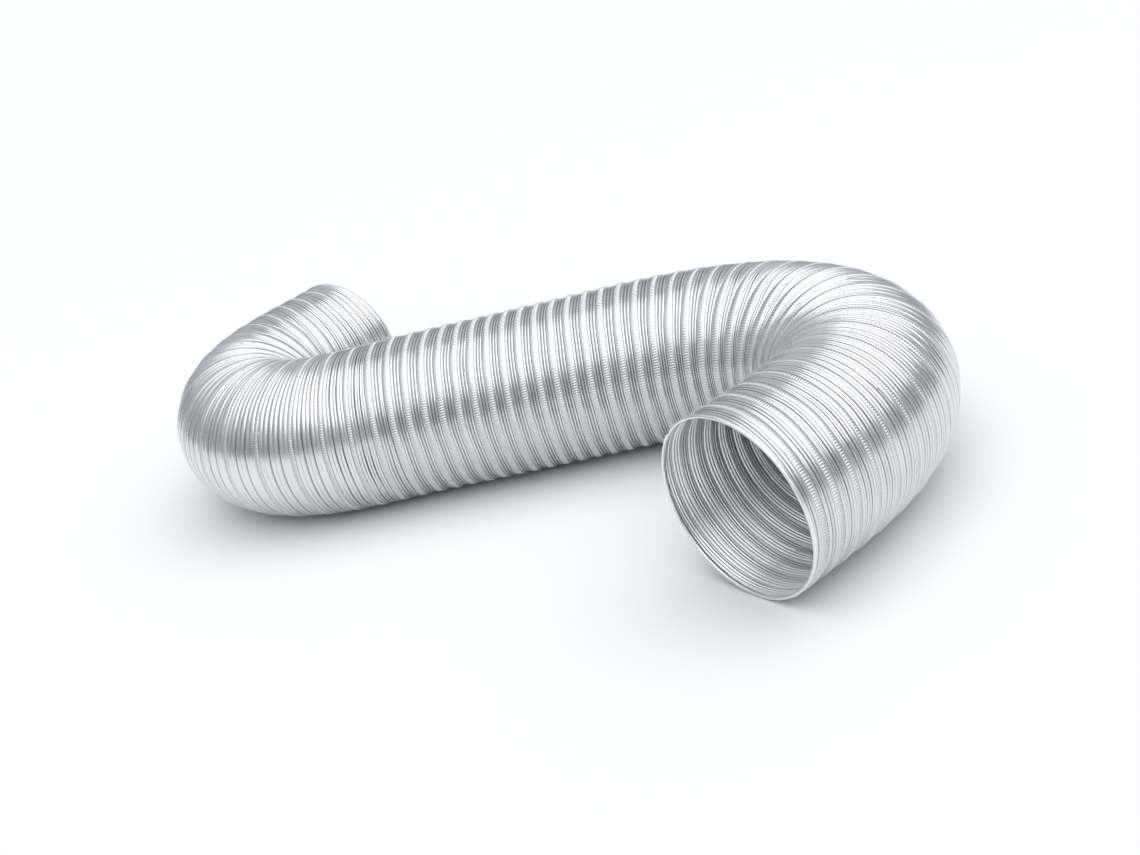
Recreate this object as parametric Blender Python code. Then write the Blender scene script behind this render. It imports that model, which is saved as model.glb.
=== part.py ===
"""Flexible aluminium air duct, semi-rigid, nominal 100 mm, lying on a floor in an S.

The wall is one strip wound in a helix of about fifty-five turns. 24 stiff hoops stand in for the lock seams,
one for every two or three turns, and soft pleated bands for the turns between them. A folded hem closes each
cut end. Each hoop is a moving piece: it bends, lifts or slides against the next one, about the middle of the
band between them.

Metres, +Z up. The origin is on the floor under the middle of the duct's box. The middle run lies along X,
the near mouth is at +X -Y and the far mouth at -X +Y.
"""

import math

import bmesh
import bpy
from mathutils import Matrix, Vector

DUCT_RADIUS = 0.052  # outside of the lock seams
HOOP_WALL = 0.0018
HOOP_LENGTH = 0.012
BAND_RADIUS = 0.0514  # crest of the pleats
BAND_WALL = 0.0010
PLEAT_DEPTH = 0.0009
PLEATS = 2  # folds drawn across each band
RIM_RADIUS = 0.0518
RIM_WALL = 0.0012
RIM_LENGTH = 0.0020
GAP = 0.0003  # between neighbouring pieces
SIDES = 28

CENTRELINE = 0.750  # from mouth to mouth
MOUTH_HEADING = math.radians(44.3)  # inwards, along the axis at the near mouth
# Curvature of the centreline in plan, in 1/m, at evenly spaced points from the near mouth to the far one.
# Positive turns left. It is a short leg, a wide bend, the middle run, a tight bend back and a short leg.
CURVATURE = (-1.4, 5.1, 12.6, 10.6, 6.6, 1.1, -1.1, 2.3, -10.6, -14.5, -12.9, 10.7)
STEPS = 1500

HOOPS = 24
ROOT = 14  # the hoop in the middle run that the others move against


def curvature_at(s):
    place = s / CENTRELINE * (len(CURVATURE) - 1)
    low = min(int(place), len(CURVATURE) - 2)
    share = place - low
    return CURVATURE[low] * (1 - share) + CURVATURE[low + 1] * share


def trace_centreline():
    """(x, y, heading) at STEPS + 1 evenly spaced points, by the midpoint rule."""
    step = CENTRELINE / STEPS
    x = y = 0.0
    heading = MOUTH_HEADING
    points = [(x, y, heading)]
    for i in range(STEPS):
        turn = curvature_at((i + 0.5) * step) * step
        x += step * math.cos(heading + turn / 2)
        y += step * math.sin(heading + turn / 2)
        heading += turn
        points.append((x, y, heading))
    return points


TRACE = trace_centreline()


def plan_at(s):
    place = s / CENTRELINE * STEPS
    low = min(int(place), STEPS - 1)
    share = place - low
    return [a * (1 - share) + b * share for a, b in zip(TRACE[low], TRACE[low + 1])]


def box_centre():
    """The middle of the duct's box in plan, from the circles round its centreline."""
    spans = []
    for x, y, heading in TRACE:
        spans.append((x, y, abs(math.sin(heading)) * DUCT_RADIUS, abs(math.cos(heading)) * DUCT_RADIUS))
    low_x = min(x - across for x, y, across, along in spans)
    high_x = max(x + across for x, y, across, along in spans)
    low_y = min(y - along for x, y, across, along in spans)
    high_y = max(y + along for x, y, across, along in spans)
    return (low_x + high_x) / 2, (low_y + high_y) / 2


CENTRE = box_centre()


def frame_at(s):
    """The section's plane at s along the axis: local X is level, Y is up and Z is along the duct."""
    x, y, heading = plan_at(s)
    along = Vector((math.cos(heading), math.sin(heading), 0))
    level = Vector((math.sin(heading), -math.cos(heading), 0))
    place = Vector((x - CENTRE[0], y - CENTRE[1], DUCT_RADIUS))
    matrix = Matrix((level, Vector((0, 0, 1)), along)).transposed().to_4x4()
    return Matrix.Translation(place) @ matrix


def material(name, colour, roughness):
    made = bpy.data.materials.new(name)
    made.use_nodes = True
    shader = made.node_tree.nodes["Principled BSDF"]
    shader.inputs["Base Color"].default_value = (*colour, 1)
    shader.inputs["Metallic"].default_value = 1.0
    shader.inputs["Roughness"].default_value = roughness
    made.diffuse_color = (*colour, 1)
    return made


def turned_ring(name, outside, wall, holder, surface):
    """A closed ring. outside lists (s, radius) along its outer side; the inner side runs wall below it."""
    profile = outside + [(s, radius - wall) for s, radius in reversed(outside)]
    mesh = bpy.data.meshes.new(name)
    shape = bmesh.new()
    to_holder = holder.matrix_world.inverted()
    loops = []
    for s, radius in profile:
        plane = to_holder @ frame_at(s)
        turns = [2 * math.pi * i / SIDES for i in range(SIDES)]
        circle = [Vector((radius * math.cos(t), radius * math.sin(t), 0)) for t in turns]
        loops.append([shape.verts.new(plane @ point) for point in circle])
    for here, there in zip(loops, loops[1:] + loops[:1]):
        for i in range(SIDES):
            shape.faces.new((here[i], here[(i + 1) % SIDES], there[(i + 1) % SIDES], there[i]))
    bmesh.ops.recalc_face_normals(shape, faces=shape.faces)
    shape.to_mesh(mesh)
    shape.free()
    mesh.shade_smooth()
    mesh.set_sharp_from_angle(angle=math.radians(30))
    mesh.materials.append(surface)
    ring = bpy.data.objects.new(name, mesh)
    bpy.context.collection.objects.link(ring)
    ring.parent = holder
    return ring


def hoop_middle(number):
    """Where hoop 1, 2, ... HOOPS sits along the axis. The hems take the first and last RIM_LENGTH."""
    first = RIM_LENGTH + GAP + HOOP_LENGTH / 2
    return first + (number - 1) * (CENTRELINE - 2 * first) / (HOOPS - 1)


def band_middle(number):
    """The middle of the band between this hoop and the next, where the two hoops move against each other."""
    return (hoop_middle(number) + hoop_middle(number + 1)) / 2


def holder_of(number, holders):
    """An empty on the joint that carries this hoop, under the holder of its neighbour on the root's side."""
    s = hoop_middle(ROOT) if number == ROOT else band_middle(number if number < ROOT else number - 1)
    holder = bpy.data.objects.new(f"pivot_{number:02d}", None)
    bpy.context.collection.objects.link(holder)
    holder.empty_display_size = 0.02
    if number != ROOT:
        holder.parent = holders[number + 1 if number < ROOT else number - 1]
    holder.matrix_world = frame_at(s)
    bpy.context.view_layer.update()
    return holder


def build():
    for old in list(bpy.data.objects):
        bpy.data.objects.remove(old)
    seam = material("lock_seam_aluminium", (0.80, 0.81, 0.83), 0.24)
    pleat = material("pleated_aluminium", (0.70, 0.71, 0.74), 0.30)
    hem = material("hem_aluminium", (0.86, 0.87, 0.88), 0.20)

    holders = {ROOT: holder_of(ROOT, {})}
    for number in range(ROOT - 1, 0, -1):
        holders[number] = holder_of(number, holders)
    for number in range(ROOT + 1, HOOPS + 1):
        holders[number] = holder_of(number, holders)

    for number in range(1, HOOPS + 1):
        s = hoop_middle(number)
        sides = [(s - HOOP_LENGTH / 2, DUCT_RADIUS), (s + HOOP_LENGTH / 2, DUCT_RADIUS)]
        turned_ring(f"seam_hoop_{number:02d}", sides, HOOP_WALL, holders[number], seam)

    for number in range(1, HOOPS):
        low = hoop_middle(number) + HOOP_LENGTH / 2 + GAP
        high = hoop_middle(number + 1) - HOOP_LENGTH / 2 - GAP
        sides = []
        for i in range(2 * PLEATS + 1):
            crest = BAND_RADIUS - PLEAT_DEPTH * (i % 2)
            sides.append((low + (high - low) * i / (2 * PLEATS), crest))
        carrier = number + 1 if number < ROOT else number
        turned_ring(f"pleat_band_{number:02d}", sides, BAND_WALL, holders[carrier], pleat)

    for name, start, number in (("near_hem", 0.0, 1), ("far_hem", CENTRELINE - RIM_LENGTH, HOOPS)):
        sides = [(start, RIM_RADIUS), (start + RIM_LENGTH, RIM_RADIUS)]
        turned_ring(name, sides, RIM_WALL, holders[number], hem)


build()
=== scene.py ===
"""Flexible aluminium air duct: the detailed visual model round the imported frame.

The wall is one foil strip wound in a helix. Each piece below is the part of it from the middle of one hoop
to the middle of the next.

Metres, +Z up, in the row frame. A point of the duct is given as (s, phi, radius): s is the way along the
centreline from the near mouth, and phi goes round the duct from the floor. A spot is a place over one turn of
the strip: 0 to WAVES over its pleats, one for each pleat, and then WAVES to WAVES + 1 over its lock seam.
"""
import math

import bpy
import numpy as np
from mathutils import Matrix, Vector


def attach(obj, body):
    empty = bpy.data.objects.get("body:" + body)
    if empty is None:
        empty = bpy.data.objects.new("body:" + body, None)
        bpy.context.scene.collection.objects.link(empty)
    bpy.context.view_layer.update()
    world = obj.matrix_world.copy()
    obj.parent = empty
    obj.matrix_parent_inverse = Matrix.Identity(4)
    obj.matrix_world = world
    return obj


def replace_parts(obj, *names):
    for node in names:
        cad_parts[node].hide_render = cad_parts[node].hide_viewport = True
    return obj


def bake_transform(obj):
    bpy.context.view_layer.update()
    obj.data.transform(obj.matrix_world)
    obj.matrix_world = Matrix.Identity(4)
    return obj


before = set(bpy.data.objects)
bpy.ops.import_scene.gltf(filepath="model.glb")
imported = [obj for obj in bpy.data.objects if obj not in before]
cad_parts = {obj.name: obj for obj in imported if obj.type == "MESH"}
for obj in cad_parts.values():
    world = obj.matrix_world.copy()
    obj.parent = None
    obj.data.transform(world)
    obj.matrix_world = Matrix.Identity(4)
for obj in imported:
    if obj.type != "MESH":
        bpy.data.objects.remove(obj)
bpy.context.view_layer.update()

TAU = 2 * math.pi
MM = 0.001

# ---- the centreline, as in the part ------------------------------------------------------------------
DUCT_RADIUS = 0.052
CENTRELINE = 0.750
MOUTH_HEADING = math.radians(44.3)
CURVATURE = np.array((-1.4, 5.1, 12.6, 10.6, 6.6, 1.1, -1.1, 2.3, -10.6, -14.5, -12.9, 10.7))
STEPS = 1500
HOOPS = 24
HOOP_LENGTH = 0.012
RIM_LENGTH = 0.0020
GAP = 0.0003  # between the rim and the first hoop
FIRST_HOOP = RIM_LENGTH + GAP + HOOP_LENGTH / 2
HOOP_SPACING = (CENTRELINE - 2 * FIRST_HOOP) / (HOOPS - 1)

S_KNOTS = np.linspace(0, CENTRELINE, len(CURVATURE))
S_TRACE = np.linspace(0, CENTRELINE, STEPS + 1)
LEAST_STRETCH = 0.2


def trace_centreline():
    step = CENTRELINE / STEPS
    turn = np.interp(S_TRACE[:-1] + step / 2, S_KNOTS, CURVATURE) * step
    heading = MOUTH_HEADING + np.concatenate([[0], np.cumsum(turn)])
    middle = heading[:-1] + turn / 2
    x = np.concatenate([[0], np.cumsum(step * np.cos(middle))])
    y = np.concatenate([[0], np.cumsum(step * np.sin(middle))])
    across = np.abs(np.sin(heading)) * DUCT_RADIUS
    along = np.abs(np.cos(heading)) * DUCT_RADIUS
    x -= ((x - across).min() + (x + across).max()) / 2
    y -= ((y - along).min() + (y + along).max()) / 2
    return x, y, heading


X_TRACE, Y_TRACE, H_TRACE = trace_centreline()


def hoop_middle(number):
    return FIRST_HOOP + (number - 1) * HOOP_SPACING


def curvature_at(s):
    return np.interp(s, S_KNOTS, CURVATURE)


def on_axis(s):
    """(x, y, heading) on the centreline."""
    return tuple(np.interp(s, S_TRACE, line) for line in (X_TRACE, Y_TRACE, H_TRACE))


def bent(points):
    """Rows of (s, phi, radius) as places. phi grows to the right side, seen looking along the duct."""
    s, phi, radius = points.T
    x, y, heading = on_axis(s)
    level, up = radius * np.sin(phi), -radius * np.cos(phi)
    return np.stack([x + level * np.sin(heading), y - level * np.cos(heading), DUCT_RADIUS + up], -1)


def stretch(s, phi):
    """How far apart the turns are here, against the centreline: over 1 outside a bend, under 1 inside."""
    return np.maximum(1 + curvature_at(s) * DUCT_RADIUS * np.sin(phi), LEAST_STRETCH)


# ---- the strip's turns -------------------------------------------------------------------------------
# The wound strip's pitch at the places of CURVATURE: the pleats are shut in the middle run and drawn open in
# the bends.
PITCHES = np.array((10.8, 14.2, 16.5, 16.0, 13.2, 10.8, 9.9, 12.0, 17.5, 17.0, 15.0, 12.5)) * MM
SHUT, OPEN = 10.4 * MM, 15.5 * MM  # from one turn to the next, where all of the tucked pleats are in or out
SEAM_SHUT, SEAM_OPEN = 5.0 * MM, 2.9 * MM  # what shows of the flat lock seam
LEAST_SEAM, MOST_SEAM = 0.12, 0.6  # of the way from one turn to the next
TUCKED = 3  # pleats that slip in beside the seam where the duct is shut
WAVES = 6  # pleats between two seams
SEAM_CENTRE_S, SEAM_CENTRE_PHI = 10.0 * MM, math.radians(120)  # where the middle of one seam is

TURN_STEPS = CENTRELINE / STEPS / np.interp(S_TRACE[1:], S_KNOTS, PITCHES)
TURN_TRACE = np.concatenate([[0], np.cumsum(TURN_STEPS)])


def turns_at(s):
    return np.interp(s, S_TRACE, TURN_TRACE)


def s_at_turns(turns):
    """The way back, going on evenly past both ends."""
    over = np.maximum(turns - TURN_TRACE[-1], 0) + np.minimum(turns, 0)
    return np.interp(turns, TURN_TRACE, S_TRACE) + over * PITCHES[0]


def room(s, phi):
    """From one turn to the next along the wall here."""
    return np.interp(s, S_KNOTS, PITCHES) * stretch(s, phi)


def opening(s, phi):
    """0 where the duct is shut, 1 where every pleat is out."""
    share = np.clip((room(s, phi) - SHUT) / (OPEN - SHUT), 0, 1)
    return share * share * (3 - 2 * share)


def between(shut, drawn, out):
    """A value that is shut where the duct is shut and drawn where it is drawn open."""
    return shut * (1 - out) + drawn * out


def seam_share(s, phi):
    """How much of the way from one turn to the next is the seam."""
    return np.clip(between(SEAM_SHUT, SEAM_OPEN, opening(s, phi)) / room(s, phi), LEAST_SEAM, MOST_SEAM)


def pleats_out(out):
    """How many pleats show, where out says how far the tucked ones do."""
    return TUCKED * out + WAVES - TUCKED


def pleat_share(spot, out):
    """How far over the pleats a spot is, 0 to 1."""
    spot = np.minimum(spot, WAVES)
    return (np.minimum(spot, TUCKED) * out + np.maximum(spot - TUCKED, 0)) / pleats_out(out)


def pleat_spot(share, out):
    """The way back from pleat_share."""
    shown = share * pleats_out(out)
    edge = TUCKED * out
    return np.where(shown < edge, shown / np.maximum(out, 1e-6), TUCKED + shown - edge)


PHASE = 1 - seam_share(SEAM_CENTRE_S, SEAM_CENTRE_PHI) / 2 - turns_at(SEAM_CENTRE_S) + SEAM_CENTRE_PHI / TAU
PHASE -= math.floor(PHASE)


def turn_start(turn, phi):
    """Turns along the centreline to where this turn of the strip begins at phi."""
    return turn + phi / TAU - PHASE


def s_of(turn, phi, spot):
    """s of a spot on a turn of the strip."""
    begin = turn_start(turn, phi)
    middle = s_at_turns(begin + 0.5)
    share = seam_share(middle, phi)
    pleat = pleat_share(spot, opening(middle, phi)) * (1 - share)
    seam = np.maximum(spot - WAVES, 0) * share
    return s_at_turns(begin + pleat + seam)


def spot_of(s, phi):
    """The spot that lies at s and phi."""
    turns = turns_at(s) - phi / TAU + PHASE
    turn = np.floor(turns + 1e-9)
    part = turns - turn
    middle = s_at_turns(turn_start(turn, phi) + 0.5)
    share = seam_share(middle, phi)
    pleat = pleat_spot(np.minimum(part / (1 - share), 1), opening(middle, phi))
    return np.where(part < 1 - share, pleat, WAVES + (part - 1 + share) / share)


# ---- small random unevenness -------------------------------------------------------------------------
rng = np.random.default_rng(12)
UNEVEN = [
    (rng.uniform(20, 160), int(rng.integers(1, 9)), rng.uniform(0, TAU), rng.uniform(0.4, 1.0))
    for _ in range(14)
]
UNEVEN_SCALE = 1.8 / sum(a for k, n, p, a in UNEVEN)
UNEVEN_SPACING = 0.28 * MM
EVEN_END = 12 * MM  # nearer than this to a cut end, the turns grow even again


def unevenness(s, phi, shift=0.0):
    """A smooth random field over the duct, mostly from -1 to 1. Each shift gives another field."""
    return sum(a * np.sin(k * s + n * phi + p + shift * (n + 1)) for k, n, p, a in UNEVEN) * UNEVEN_SCALE


def shifted(s, phi):
    """The turns don't lie perfectly evenly along the duct."""
    ends = np.clip(np.minimum(s, CENTRELINE - s) / EVEN_END, 0, 1)
    return s + UNEVEN_SPACING * ends * unevenness(s, phi, 1.7)


# ---- the strip's section -----------------------------------------------------------------------------
SEAM_RADIUS = 51.85 * MM
# A pleat's depth by its width from groove to groove. Both are in mm.
PLEAT_WIDTHS = (0.0, 0.3, 1.2, 1.9, 2.6, 3.6, 6.0)
PLEAT_DEPTHS = (0.0, 0.2, 0.85, 0.85, 0.7, 0.5, 0.3)
# The power of a pleat's half-sine ridge by its width. Under 1 the crest is flatter and the groove sharper.
POWER_WIDTHS, RIDGE_POWERS = (1.8, 4.0), (0.6, 1.1)
GROOVE_DEPTHS = (1.0, 0.6, 1.5, 0.7, 1.6, 0.8, 1.0)  # of each groove, against its pleat's, where all are out
DEPTH_UNEVEN = 0.35
EDGE_SAG, MIDDLE_SAG = 0.18 * MM, 0.30 * MM  # of shut pleats under the seam, and how much more midway
SAG_OPEN = 0.25  # what is left of that where they are out
BESIDE_SHUT, BESIDE_OPEN = 1.15 * MM, 0.90 * MM  # depth of the groove at each side of the seam
BESIDE_WIDTH = 0.35 * MM
SEAM_CROWN = 0.12 * MM
SEAM_EDGE_SHUT, SEAM_EDGE_OPEN = 0.7 * MM, 0.4 * MM  # how far the seam's edges are rounded down
SEAM_EDGE_WIDTH = 0.04  # of the seam

# Pressed teeth across the seam: each is a low rounded pad, and shows from inside as its hollow side.
TEETH = 208  # round one turn
TOOTH_FROM, TOOTH_TO = 0.12, 0.86  # across the seam
TOOTH_SHARE = 0.66  # of the way from one tooth to the next
TOOTH_HEIGHT = 0.20 * MM
TOOTH_SUNK = 0.08 * MM  # of the pad's edge, under the seam's face
INNER_TOOTH = 0.5  # the middle of their inner sides, across the seam
INNER_LENGTH, INNER_HEIGHT = 0.45, 0.6  # of the outer side's

FOIL = 0.25 * MM
SEAM_LAYERS = 0.7 * MM  # what the seam's folds add to the foil
LAYERS_EDGE = 0.1  # of the seam, over which they begin
INNER_RIB = 0.5 * MM  # low ribs on the inner side of the seam
INNER_RIBS = 3

LIP_SMOOTH = 1.5 * MM  # the strip lies flat this near a cut end
LIP_FADE = 1.2 * MM  # and reaches its full depth over this length
LIP_DEPTH = 0.35 * MM  # of the flat end, under the seam's own radius
DENT, BEND_DENT = 0.10 * MM, 0.2 * MM  # the deepest dents, and what a tight bend adds
TIGHT_BEND = 15  # 1/m

FULL_SHADE_SHUT, FULL_SHADE_OPEN = 1.15 * MM, 0.80 * MM  # the depth at which a fold gets its whole painted shade
SHADE_FROM = 0.3  # of that depth, where the painted shade begins
TOOTH_GAP_SHADE = 0.34  # painted shade of the foil between the teeth, on the scale of the folds
TOOTH_SHADE_FROM, TOOTH_SHADE_TO = TOOTH_FROM - 0.02, TOOTH_TO + 0.04


def depth_at(spot, s, phi):
    """How far the outside lies under the seam's own radius."""
    out = opening(s, phi)
    pleats_room = room(s, phi) * (1 - seam_share(s, phi))
    width = pleats_room / pleats_out(out) / MM
    width = np.where(spot < TUCKED, width * out, width)
    depth = np.interp(width, PLEAT_WIDTHS, PLEAT_DEPTHS) * MM
    power = np.interp(width, POWER_WIDTHS, RIDGE_POWERS)
    low = np.clip(pleat_share(spot, out), 0, 1)
    sag = (EDGE_SAG + MIDDLE_SAG * np.sin(np.pi * low)) * between(1, SAG_OPEN, out)
    ridge = np.abs(np.sin(np.pi * np.clip(spot, 0, WAVES)))
    uneven = np.interp(spot, range(WAVES + 1), GROOVE_DEPTHS) * (1 + DEPTH_UNEVEN * unevenness(s, phi, 3.1))
    pleats = sag + depth * between(1, uneven, out) * (1 - ridge ** power)
    to_edge = np.minimum(low, 1 - low) * pleats_room
    beside = between(BESIDE_SHUT, BESIDE_OPEN, out) * np.clip(1 - to_edge / BESIDE_WIDTH, 0, 1)
    pleats = np.maximum(pleats, beside)
    across = np.clip(spot - WAVES, 0, 1)
    rounded = np.exp(-across / SEAM_EDGE_WIDTH) + np.exp(-(1 - across) / SEAM_EDGE_WIDTH)
    seam = SEAM_CROWN * (2 * across - 1) ** 2 + between(SEAM_EDGE_SHUT, SEAM_EDGE_OPEN, out) * rounded
    return np.where(spot < WAVES + 1e-9, pleats, seam)


def outside(spot, s, phi):
    """The outer radius, with shallow dents that are deeper in the bends."""
    dent = (DENT + BEND_DENT * np.abs(curvature_at(s)) / TIGHT_BEND) * (1 + unevenness(s, phi)) / 2
    fade = np.clip((np.minimum(s, CENTRELINE - s) - LIP_SMOOTH) / LIP_FADE, 0, 1)
    return SEAM_RADIUS - dent - LIP_DEPTH * (1 - fade) - depth_at(spot, s, phi) * fade


def painted_shade_at(spot, s, phi):
    """How much painted shade the foil gets: 0 on the crests, more down in the folds, and a set amount between
    the teeth.
    """
    whole_fold = between(FULL_SHADE_SHUT, FULL_SHADE_OPEN, opening(s, phi))
    folds = np.clip(depth_at(spot, s, phi) / whole_fold - SHADE_FROM, 0, 1)
    across = spot - WAVES
    return np.maximum(folds, TOOTH_GAP_SHADE * ((across > TOOTH_SHADE_FROM) & (across < TOOTH_SHADE_TO)))


def wall_at(spot):
    """The wall's thickness: single foil in the pleats, and the folded layers of the lock seam."""
    across = np.clip(spot - WAVES, 0, 1)
    ribs = INNER_RIB * np.abs(np.sin(math.pi * INNER_RIBS * across))
    return FOIL + ribs + SEAM_LAYERS * np.clip(np.minimum(across, 1 - across) / LAYERS_EDGE, 0, 1)


# ---- materials ---------------------------------------------------------------------------------------
FOLD_SHADE = 0.45  # of the foil's colour at the bottom of a fold, where its painted shade is whole
SMUDGE_GREY = 0.93
STREAK_SCALE = (30, 2500, 1)  # round the duct, along it
SMUDGE_SCALE = 28.0
RELIEF = 0.2 * MM


def aluminium(name, colour, rough, streak, bump):
    """Bare foil: metal with rolling streaks along the strip, faint smudges, and painted shade in the folds
    and between the teeth.
    """
    made = bpy.data.materials.new(name)
    made.use_nodes = True
    tree = made.node_tree
    shader = tree.nodes["Principled BSDF"]
    shader.inputs["Metallic"].default_value = 1.0
    places = tree.nodes.new("ShaderNodeTexCoord")

    def noise(source, stretched, scale, detail):
        mapping = tree.nodes.new("ShaderNodeMapping")
        mapping.inputs["Scale"].default_value = stretched
        tree.links.new(source, mapping.inputs["Vector"])
        texture = tree.nodes.new("ShaderNodeTexNoise")
        texture.inputs["Scale"].default_value = scale
        texture.inputs["Detail"].default_value = detail
        tree.links.new(mapping.outputs["Vector"], texture.inputs["Vector"])
        return texture.outputs["Fac"]

    def remap(source, low, high, to_low, to_high):
        node = tree.nodes.new("ShaderNodeMapRange")
        for socket, value in zip(("From Min", "From Max", "To Min", "To Max"), (low, high, to_low, to_high)):
            node.inputs[socket].default_value = value
        tree.links.new(source, node.inputs["Value"])
        return node.outputs["Result"]

    streaks = noise(places.outputs["UV"], STREAK_SCALE, 1.0, 3)
    smudges = noise(places.outputs["Object"], (1, 1, 1), SMUDGE_SCALE, 4)
    mixed = tree.nodes.new("ShaderNodeMath")
    mixed.operation = "ADD"
    tree.links.new(remap(streaks, 0.3, 0.7, -streak, streak), mixed.inputs[0])
    tree.links.new(remap(smudges, 0.3, 0.75, rough - 0.04, rough + 0.06), mixed.inputs[1])
    tree.links.new(mixed.outputs[0], shader.inputs["Roughness"])

    ramp = tree.nodes.new("ShaderNodeValToRGB")
    dull, clean = ramp.color_ramp.elements
    dull.position, clean.position = 0.3, 0.7
    dull.color = (*[c * SMUDGE_GREY for c in colour], 1)
    clean.color = (*colour, 1)
    tree.links.new(smudges, ramp.inputs["Fac"])
    # Painted shade: a point attribute darkens the foil's colour down in the folds and between the teeth.
    painted_shade = tree.nodes.new("ShaderNodeAttribute")
    painted_shade.attribute_name = "painted_shade"
    shade = tree.nodes.new("ShaderNodeMix")
    shade.data_type = "RGBA"
    tree.links.new(remap(painted_shade.outputs["Fac"], 0.05, 0.6, 0.0, 1.0), shade.inputs["Factor"])
    on_crests, painted_shade_colour = [socket for socket in shade.inputs if socket.type == "RGBA"]
    tree.links.new(ramp.outputs["Color"], on_crests)
    painted_shade_colour.default_value = (*[c * FOLD_SHADE for c in colour], 1)
    result = next(socket for socket in shade.outputs if socket.type == "RGBA")
    tree.links.new(result, shader.inputs["Base Color"])

    relief = tree.nodes.new("ShaderNodeBump")
    relief.inputs["Strength"].default_value = bump
    relief.inputs["Distance"].default_value = RELIEF
    tree.links.new(streaks, relief.inputs["Height"])
    tree.links.new(relief.outputs["Normal"], shader.inputs["Normal"])
    return made


SURFACES = (
    aluminium("pleat_foil", (0.80, 0.81, 0.83), 0.24, 0.05, 0.12),
    aluminium("seam_foil", (0.80, 0.81, 0.83), 0.28, 0.04, 0.08),
    # The inner and hem foils are lighter copies of the wall's foil: painted light, to brighten the shaded
    # inside of the duct and the rolled lip.
    aluminium("inner_foil_painted_lighter", (0.94, 0.945, 0.955), 0.36, 0.05, 0.12),
    aluminium("hem_foil_painted_lighter", (0.88, 0.89, 0.90), 0.36, 0.03, 0.06),
)
PLEAT, SEAM, INNER, HEM = range(len(SURFACES))


# ---- building meshes ---------------------------------------------------------------------------------
class Shape:
    """Collects points, given as (s, phi, radius), and triangles."""

    def __init__(self):
        self.points, self.faces, self.surfaces, self.maps, self.painted_shades = [], [], [], [], []
        self.count = 0

    def add_points(self, s, phi, radius, painted_shade=0.0):
        """Returns the index of the first one."""
        parts = np.broadcast_arrays(s, phi, radius)
        self.points.append(np.stack([part.ravel() for part in parts], 1))
        # how much painted shade the foil's colour gets at each point
        self.painted_shades.append(np.broadcast_to(painted_shade, parts[0].shape).ravel())
        first, self.count = self.count, self.count + parts[0].size
        return first

    def add_faces(self, faces, surface, phi_of_corners=None):
        """phi_of_corners gives phi at each corner for the map, where a face crosses phi = 0."""
        points = np.concatenate(self.points)
        turn = points[faces, 1] if phi_of_corners is None else phi_of_corners
        self.faces.append(faces)
        self.surfaces.append(np.broadcast_to(surface, len(faces)))
        self.maps.append(np.stack([turn * DUCT_RADIUS, points[faces, 0]], -1))

    def add_grid(self, s, phi, radius, surface, flip=False):
        rows, columns = np.broadcast(s, phi, radius).shape
        self.add_faces(self.add_points(s, phi, radius) + grid_triangles(rows, columns, flip), surface)


def in_triangles(quads):
    """Two triangles from each quad."""
    return np.concatenate([quads[:, [0, 1, 2]], quads[:, [0, 2, 3]]])


def grid_triangles(rows, columns, flip=False):
    i, j = np.meshgrid(np.arange(rows - 1), np.arange(columns - 1), indexing="ij")
    a = (i * columns + j).ravel()
    quads = np.stack([a, a + 1, a + columns + 1, a + columns], 1)
    return in_triangles(quads[:, ::-1] if flip else quads)


def mesh_object(name, shape, to_place):
    points, faces = np.concatenate(shape.points), np.concatenate(shape.faces)
    mesh = bpy.data.meshes.new(name)
    mesh.vertices.add(len(points))
    mesh.vertices.foreach_set("co", to_place(points).astype(np.float32).ravel())
    mesh.loops.add(faces.size)
    mesh.loops.foreach_set("vertex_index", faces.astype(np.int32).ravel())
    mesh.polygons.add(len(faces))
    mesh.polygons.foreach_set("loop_start", np.arange(0, faces.size, 3, dtype=np.int32))
    mesh.polygons.foreach_set("material_index", np.concatenate(shape.surfaces).astype(np.int32))
    layer = mesh.uv_layers.new(name="strip")
    layer.uv.foreach_set("vector", np.concatenate(shape.maps).astype(np.float32).ravel())
    painted_shades = mesh.attributes.new("painted_shade", "FLOAT", "POINT")
    painted_shades.data.foreach_set("value", np.concatenate(shape.painted_shades).astype(np.float32))
    for surface in SURFACES:
        mesh.materials.append(surface)
    mesh.update(calc_edges=True)
    mesh.validate()
    mesh.shade_smooth()
    made = bpy.data.objects.new(name, mesh)
    bpy.context.scene.collection.objects.link(made)
    return made


# ---- the wall ----------------------------------------------------------------------------------------
COLUMNS = 168  # round the duct
# Rows across one pleat from groove to groove, and across the seam. Each is 0 to 1.
WAVE_PLACES = (0.0, 0.06, 0.15, 0.3, 0.5, 0.7, 0.85, 0.94)
SEAM_PLACES = (0.04, 0.10, 0.17, 0.25, 0.33, 0.41, 0.5, 0.59, 0.67, 0.75, 0.83, 0.90, 0.96)
ROW_PLACES = np.array(
    [n + w for n in range(WAVES) for w in WAVE_PLACES] + [WAVES] + [WAVES + w for w in SEAM_PLACES]
)
# The two cut ends have evenly spaced rows, and more of them.
END_PLEAT_ROWS, END_SEAM_ROWS = 84, 28
END_PLACES = np.concatenate(
    [np.linspace(0, WAVES, END_PLEAT_ROWS, endpoint=False), WAVES + np.arange(END_SEAM_ROWS) / END_SEAM_ROWS]
)

# The points of one tooth's pad from edge to edge, across the seam and round the duct.
PAD_ALONG = np.array((-1.0, -0.85, 0.85, 1.0))
PAD_ROUND = np.array((-1.0, -0.65, 0.65, 1.0))


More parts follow.
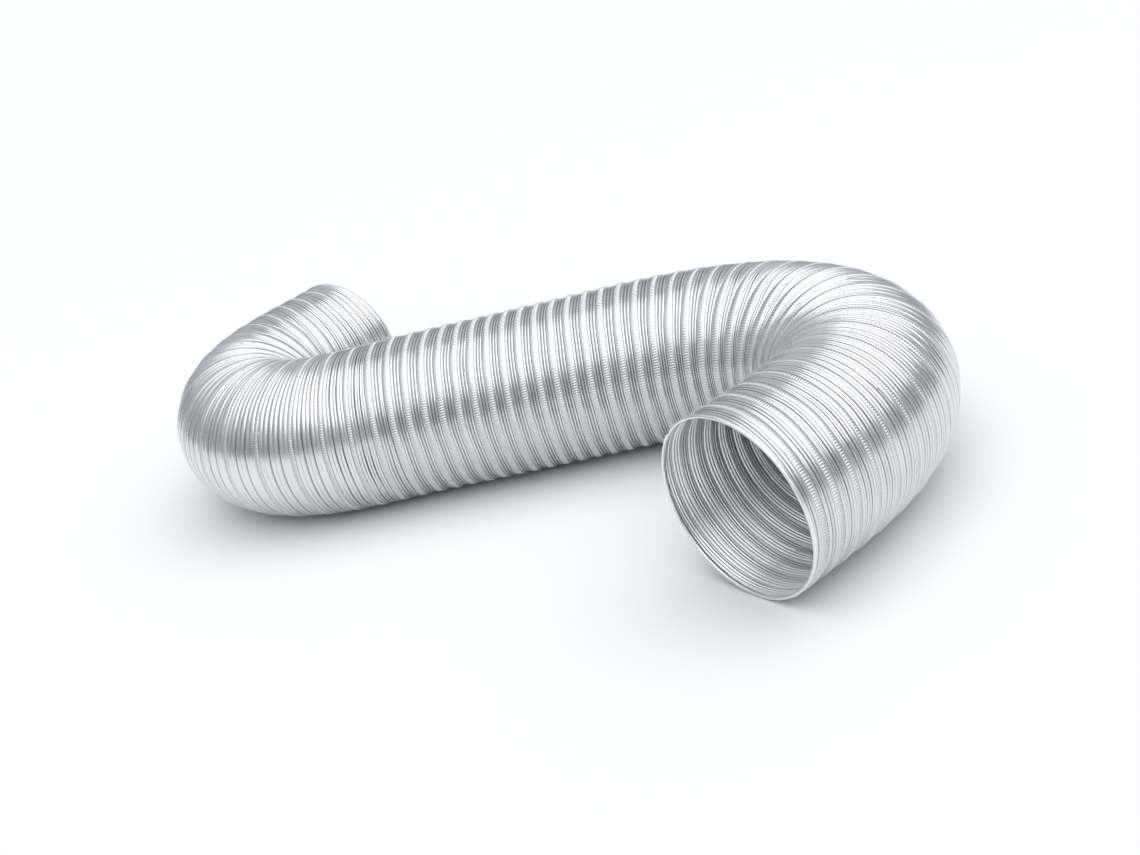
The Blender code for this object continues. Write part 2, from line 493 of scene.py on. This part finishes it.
def add_teeth(shape, turns, low, high):
    """Teeth over the seam of each turn, where their middles lie from low to high."""
    centre, half = WAVES + (TOOTH_FROM + TOOTH_TO) / 2, (TOOTH_TO - TOOTH_FROM) / 2
    a, b = np.meshgrid(PAD_ALONG, PAD_ROUND, indexing="ij")
    height = np.where((np.abs(a) < 1) & (np.abs(b) < 1), TOOTH_HEIGHT, -TOOTH_SUNK)
    pad = grid_triangles(*a.shape)
    for turn in turns:
        middle = (np.arange(TEETH) + 0.5) * TAU / TEETH
        at = s_of(turn, middle, centre)
        middle = middle[(at >= low) & (at < high)]
        if not len(middle):
            continue
        faces = (pad[None] + a.size * np.arange(len(middle))[:, None, None]).reshape(-1, 3)
        phi = middle[:, None, None] + b * TOOTH_SHARE * TAU / TEETH / 2

        spot = centre + a * half
        s = s_of(turn, phi, spot)
        radius = outside(spot, s, phi) + height
        shape.add_faces(shape.add_points(shifted(s, phi), phi, radius) + faces, SEAM)

        spot = WAVES + INNER_TOOTH + INNER_LENGTH * (spot - WAVES - INNER_TOOTH)
        s = s_of(turn, phi, spot)
        radius = outside(spot, s, phi) - wall_at(spot) - INNER_HEIGHT * height
        shape.add_faces(shape.add_points(shifted(s, phi), phi, radius) + faces[:, ::-1], INNER)


def build_wall(low, high, row_places):
    """The strip's turns between two planes across the duct, at s = low and s = high.

    Rows follow the strip. A row that leaves the piece is held at its plane, where all of them share one point
    in each column, so that the next piece meets it point for point.
    """
    rows = len(row_places)
    # Turns slant across the planes, so there are some to spare at each side.
    first = int(math.floor(turns_at(low) + PHASE)) - 2
    turns = int(math.ceil(turns_at(high) + PHASE)) + 1 - first
    count = turns * rows
    i, j = np.meshgrid(np.arange(count), np.arange(COLUMNS), indexing="ij")
    phi = j * TAU / COLUMNS
    s = s_of(first + i // rows, phi, row_places[i % rows])
    ring_phi = phi[0]
    at_low, at_high = count * COLUMNS, (count + 1) * COLUMNS  # where the points of the two planes begin
    index = np.where(s <= low, at_low + j, np.where(s >= high, at_high + j, i * COLUMNS + j))
    s_all = np.concatenate([np.clip(s, low, high).ravel(), np.full(COLUMNS, low), np.full(COLUMNS, high)])
    phi_all = np.concatenate([phi.ravel(), ring_phi, ring_phi])
    spot_all = np.concatenate([row_places[i % rows].ravel(), spot_of(low, ring_phi), spot_of(high, ring_phi)])

    # One more column closes each turn onto the start of the next.
    after = np.concatenate([index[rows:, 0], np.full(rows, at_high)])
    index = np.concatenate([index, after[:, None]], 1)
    r, c = (a.ravel() for a in np.meshgrid(np.arange(count - 1), np.arange(COLUMNS), indexing="ij"))
    faces = in_triangles(np.stack([index[r, c], index[r, c + 1], index[r + 1, c + 1], index[r + 1, c]], 1))
    corner_phi = in_triangles(np.stack([c, c + 1, c + 1, c], 1) * TAU / COLUMNS)
    on_seam = row_places[r % rows] >= WAVES
    surface = np.where(np.concatenate([on_seam, on_seam]), SEAM, PLEAT)

    # Triangles that fell onto a plane have no area, and are left out with the points that only they use.
    whole = (faces != faces[:, [1, 2, 0]]).all(1)
    corner_phi, surface = corner_phi[whole], surface[whole]
    used, faces = np.unique(faces[whole], return_inverse=True)
    faces = faces.reshape(-1, 3)
    s, phi, spot = s_all[used], phi_all[used], spot_all[used]

    shape = Shape()
    # grey is the painted shade of the folds and of the gaps between the teeth
    moved, radius, grey = shifted(s, phi), outside(spot, s, phi), painted_shade_at(spot, s, phi)
    shape.add_faces(shape.add_points(moved, phi, radius, grey) + faces, surface, corner_phi)
    start = shape.add_points(moved, phi, radius - wall_at(spot))
    shape.add_faces(start + faces[:, ::-1], INNER, corner_phi[:, ::-1])
    for plane, flip in ((at_low, False), (at_high, True)):
        ring = np.searchsorted(used, plane + np.arange(COLUMNS))
        ring = np.append(ring, ring[0])
        quads = np.stack([ring[:-1], ring[1:], ring[1:] + start, ring[:-1] + start], 1)
        shape.add_faces(in_triangles(quads[:, ::-1] if flip else quads), INNER)
    return shape, range(first, first + turns)


# ---- the lips of the two mouths ----------------------------------------------------------------------
HEM_RADIUS = 50.95 * MM
HEM_HALF = 1.3 * MM  # half of the flattened roll's width, along the duct
HEM_THICK = 0.92 * MM  # and half of its height
HEM_INSET = 1.02  # half widths from the cut end to the roll's middle
HEM_SQUARE = 0.8  # the roll's section: 1 is an oval, and less is squarer
HEM_UNEVEN = 0.22
HEM_SKIN = 0.7 * MM  # the wall begins this far in, inside the roll
HEM_COLUMNS, HEM_AROUND = 240, 12
SLOT_PHI = math.radians(227)
SLOT_HALF = math.radians(2.2)
SLOT_TAPER = math.radians(1.6)  # each end of the roll thins over this angle
THIN_END = 0.45
PROUD, PROUD_ANGLE = 0.7 * MM, math.radians(4)  # one end of the roll stands up beside the slot

NICK_PHI = math.radians(38)
NICK_FROM, NICK_LENGTH = 0.9 * MM, 2.6 * MM
NICK_HALF = 1.5 * MM / DUCT_RADIUS
NICK_SLANT = math.radians(0.8)
NICK_RADIUS, NICK_DEPTH = 51.0 * MM, 2.3 * MM
NICK_CROWN = 0.1 * MM
NICK_SKIN = 0.15 * MM


def add_hem(shape, near):
    """The folded lip: a flattened roll round the cut end, left open at the slot where its two ends meet."""
    turned, around = np.meshgrid(
        np.linspace(SLOT_HALF, TAU - SLOT_HALF, HEM_COLUMNS),
        np.arange(HEM_AROUND + 1) * TAU / HEM_AROUND,
        indexing="ij",
    )
    phi = SLOT_PHI + turned
    to_slot = np.minimum(turned - SLOT_HALF, TAU - SLOT_HALF - turned)
    full = THIN_END + (1 - THIN_END) * np.sqrt(np.clip(to_slot / SLOT_TAPER, 0, 1))
    thick = 1 - HEM_UNEVEN * unevenness(0.3, phi * 5.0)
    out = np.sign(np.cos(around)) * np.abs(np.cos(around)) ** HEM_SQUARE
    s = HEM_HALF * (HEM_INSET + full * out)
    if not near:
        s = CENTRELINE - s
    lifted = PROUD * np.exp(-(turned - SLOT_HALF) / PROUD_ANGLE)
    radius = HEM_RADIUS + HEM_THICK * full * thick * np.sin(around) + lifted
    shape.add_grid(s, phi, radius, HEM, flip=near)
    last = HEM_AROUND - 1
    for end, flip in ((0, near), (-1, not near)):
        ring = [values[end, :HEM_AROUND] for values in (s, phi, radius)]
        quads = np.array([[k, k + 1, last - k - 1, last - k] for k in range(HEM_AROUND // 2 - 1)])
        faces = in_triangles(quads[:, ::-1] if flip else quads)
        shape.add_faces(shape.add_points(*ring) + faces, HEM)


def add_nick(shape):
    """A little tab of foil bent inwards from the lip of the near mouth."""
    a, b = np.meshgrid(np.linspace(0, 1, 7), np.linspace(-1, 1, 5), indexing="ij")
    phi = NICK_PHI + b * (1 - 0.75 * a) * NICK_HALF + a * NICK_SLANT
    s = NICK_FROM + NICK_LENGTH * a
    radius = NICK_RADIUS - NICK_DEPTH * a ** 1.5 - NICK_CROWN * b * b
    shape.add_grid(s, phi, radius, HEM)
    shape.add_grid(s, phi, radius - NICK_SKIN, HEM, flip=True)


# ---- the pieces --------------------------------------------------------------------------------------
TEETH_FROM_LIP = LIP_SMOOTH + 1.4 * MM


def blended_span(number):
    """A span of the wall between its two hoops.

    It is first laid out straight along the line from its start to its end, and its points are then moved to
    their places round the bent centreline.
    """
    low = hoop_middle(number) + HOOP_LENGTH / 2
    high = hoop_middle(number + 1) - HOOP_LENGTH / 2
    start = np.array([*on_axis(low)[:2], DUCT_RADIUS])
    end = np.array([*on_axis(high)[:2], DUCT_RADIUS])
    along = (end - start) / (high - low)
    level = np.array([along[1], -along[0], 0]) / np.linalg.norm(along)

    def straight(points):
        s, phi, radius = points.T[:, :, None]
        return start + (s - low) * along + radius * (np.sin(phi) * level - np.cos(phi) * np.array([0, 0, 1]))

    begin, stop = hoop_middle(number), hoop_middle(number + 1)
    shape, turns = build_wall(begin, stop, ROW_PLACES)
    add_teeth(shape, turns, begin, stop)
    span = mesh_object(f"span_{number:02d}", shape, straight)
    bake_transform(span)
    points = bent(np.concatenate(shape.points))
    span.data.vertices.foreach_set("co", points.astype(np.float32).ravel())
    span.data.update()
    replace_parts(span, f"seam_hoop_{number:02d}", f"pleat_band_{number:02d}")


def end_piece(name, near):
    """From the lip to the middle of the first or last hoop."""
    low, high = (HEM_SKIN, hoop_middle(1)) if near else (hoop_middle(HOOPS), CENTRELINE - HEM_SKIN)
    shape, turns = build_wall(low, high, END_PLACES)
    add_teeth(shape, turns, max(low, TEETH_FROM_LIP), min(high, CENTRELINE - TEETH_FROM_LIP))
    add_hem(shape, near)
    if near:
        add_nick(shape)
    made = mesh_object(name, shape, bent)
    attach(made, "hoop_01" if near else f"hoop_{HOOPS:02d}")
    return made


for number in range(1, HOOPS):
    blended_span(number)
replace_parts(end_piece("near_end", True), "near_hem")
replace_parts(end_piece("far_end", False), "far_hem", f"seam_hoop_{HOOPS:02d}")

# ---- studio ------------------------------------------------------------------------------------------
FLOOR_HALF = 40.0
FLOOR_LEVEL = -0.4 * MM
FLOOR_COLOUR = (0.87, 0.87, 0.87, 1)
KEY_TOWARDS = (0.24, -0.22, 0.94)
KEY_SPREAD = math.radians(88)
KEY_STRENGTH = 2.0
# The studio's brightness, from its two sides at 0 to overhead at 1. It is darker low down at the sides, which
# puts the grey band under the highlight.
STUDIO_GREYS = (
    (0.0, 0.19), (0.11, 0.27), (0.24, 0.40), (0.40, 0.38), (0.50, 0.60), (0.70, 0.68), (1.0, 0.50)
)
STUDIO_TINT = (0.97, 0.985, 1.03)
FRONT_TO_BACK = 0.35  # what a direction towards the front or back counts, against one upwards


def add_floor():
    surface = bpy.data.materials.new("floor_white")
    surface.use_nodes = True
    shader = surface.node_tree.nodes["Principled BSDF"]
    shader.inputs["Base Color"].default_value = FLOOR_COLOUR
    shader.inputs["Roughness"].default_value = 0.9
    mesh = bpy.data.meshes.new("floor")
    corners = [(x * FLOOR_HALF, y * FLOOR_HALF, FLOOR_LEVEL) for x, y in ((-1, -1), (1, -1), (1, 1), (-1, 1))]
    mesh.from_pydata(corners, [], [range(4)])
    mesh.materials.append(surface)
    made = bpy.data.objects.new("floor", mesh)
    bpy.context.scene.collection.objects.link(made)


def add_key():
    """A wide round source, as a large softbox far away."""
    light = bpy.data.lights.new("key", "SUN")
    light.angle = KEY_SPREAD
    light.energy = KEY_STRENGTH
    made = bpy.data.objects.new("key", light)
    made.rotation_mode = "QUATERNION"
    made.rotation_quaternion = Vector(KEY_TOWARDS).to_track_quat("Z", "Y")
    bpy.context.scene.collection.objects.link(made)


def add_world():
    world = bpy.data.worlds.new("studio")
    world.use_nodes = True
    sky = world.node_tree
    direction = sky.nodes.new("ShaderNodeTexCoord")
    squeezed = sky.nodes.new("ShaderNodeVectorMath")
    squeezed.operation = "MULTIPLY"
    squeezed.inputs[1].default_value = (0, FRONT_TO_BACK, 1)
    height = sky.nodes.new("ShaderNodeVectorMath")
    height.operation = "LENGTH"
    walls = sky.nodes.new("ShaderNodeValToRGB")
    stops = walls.color_ramp.elements
    for position, grey in STUDIO_GREYS:
        stop = stops[0] if position == 0 else stops[-1] if position == 1 else stops.new(position)
        stop.color = (*[grey * tint for tint in STUDIO_TINT], 1)
    sky.links.new(direction.outputs["Generated"], squeezed.inputs[0])
    sky.links.new(squeezed.outputs["Vector"], height.inputs[0])
    sky.links.new(height.outputs["Value"], walls.inputs["Fac"])
    sky.links.new(walls.outputs["Color"], sky.nodes["Background"].inputs["Color"])
    bpy.context.scene.world = world


add_floor()
add_key()
add_world()
bpy.context.scene.view_settings.view_transform = "Standard"

# ---- camera ------------------------------------------------------------------------------------------
CAMERA_PLACE = (0.1996, -0.8325, 0.4037)
CAMERA_LENS, SENSOR_WIDTH = 47.19, 36  # mm
# Yaw turns the view to the right from +Y, pitch tips it down and roll tilts its frame.
YAW, PITCH, ROLL = (math.radians(angle) for angle in (-11.72, 23.54, -17.09))


def add_camera():
    forward = Vector((math.cos(PITCH) * math.sin(YAW), math.cos(PITCH) * math.cos(YAW), -math.sin(PITCH)))
    flat_right = Vector((math.cos(YAW), -math.sin(YAW), 0))
    flat_up = flat_right.cross(forward)
    right = math.cos(ROLL) * flat_right + math.sin(ROLL) * flat_up
    up = -math.sin(ROLL) * flat_right + math.cos(ROLL) * flat_up
    axes = Matrix((right, up, -forward)).transposed().to_4x4()
    camera = bpy.data.objects.new("camera", bpy.data.cameras.new("camera"))
    camera.data.sensor_width = SENSOR_WIDTH
    camera.data.lens = CAMERA_LENS
    camera.data.clip_end = 200
    camera.matrix_world = Matrix.Translation(CAMERA_PLACE) @ axes
    bpy.context.scene.collection.objects.link(camera)
    bpy.context.scene.camera = camera


add_camera()

bpy.context.view_layer.update()
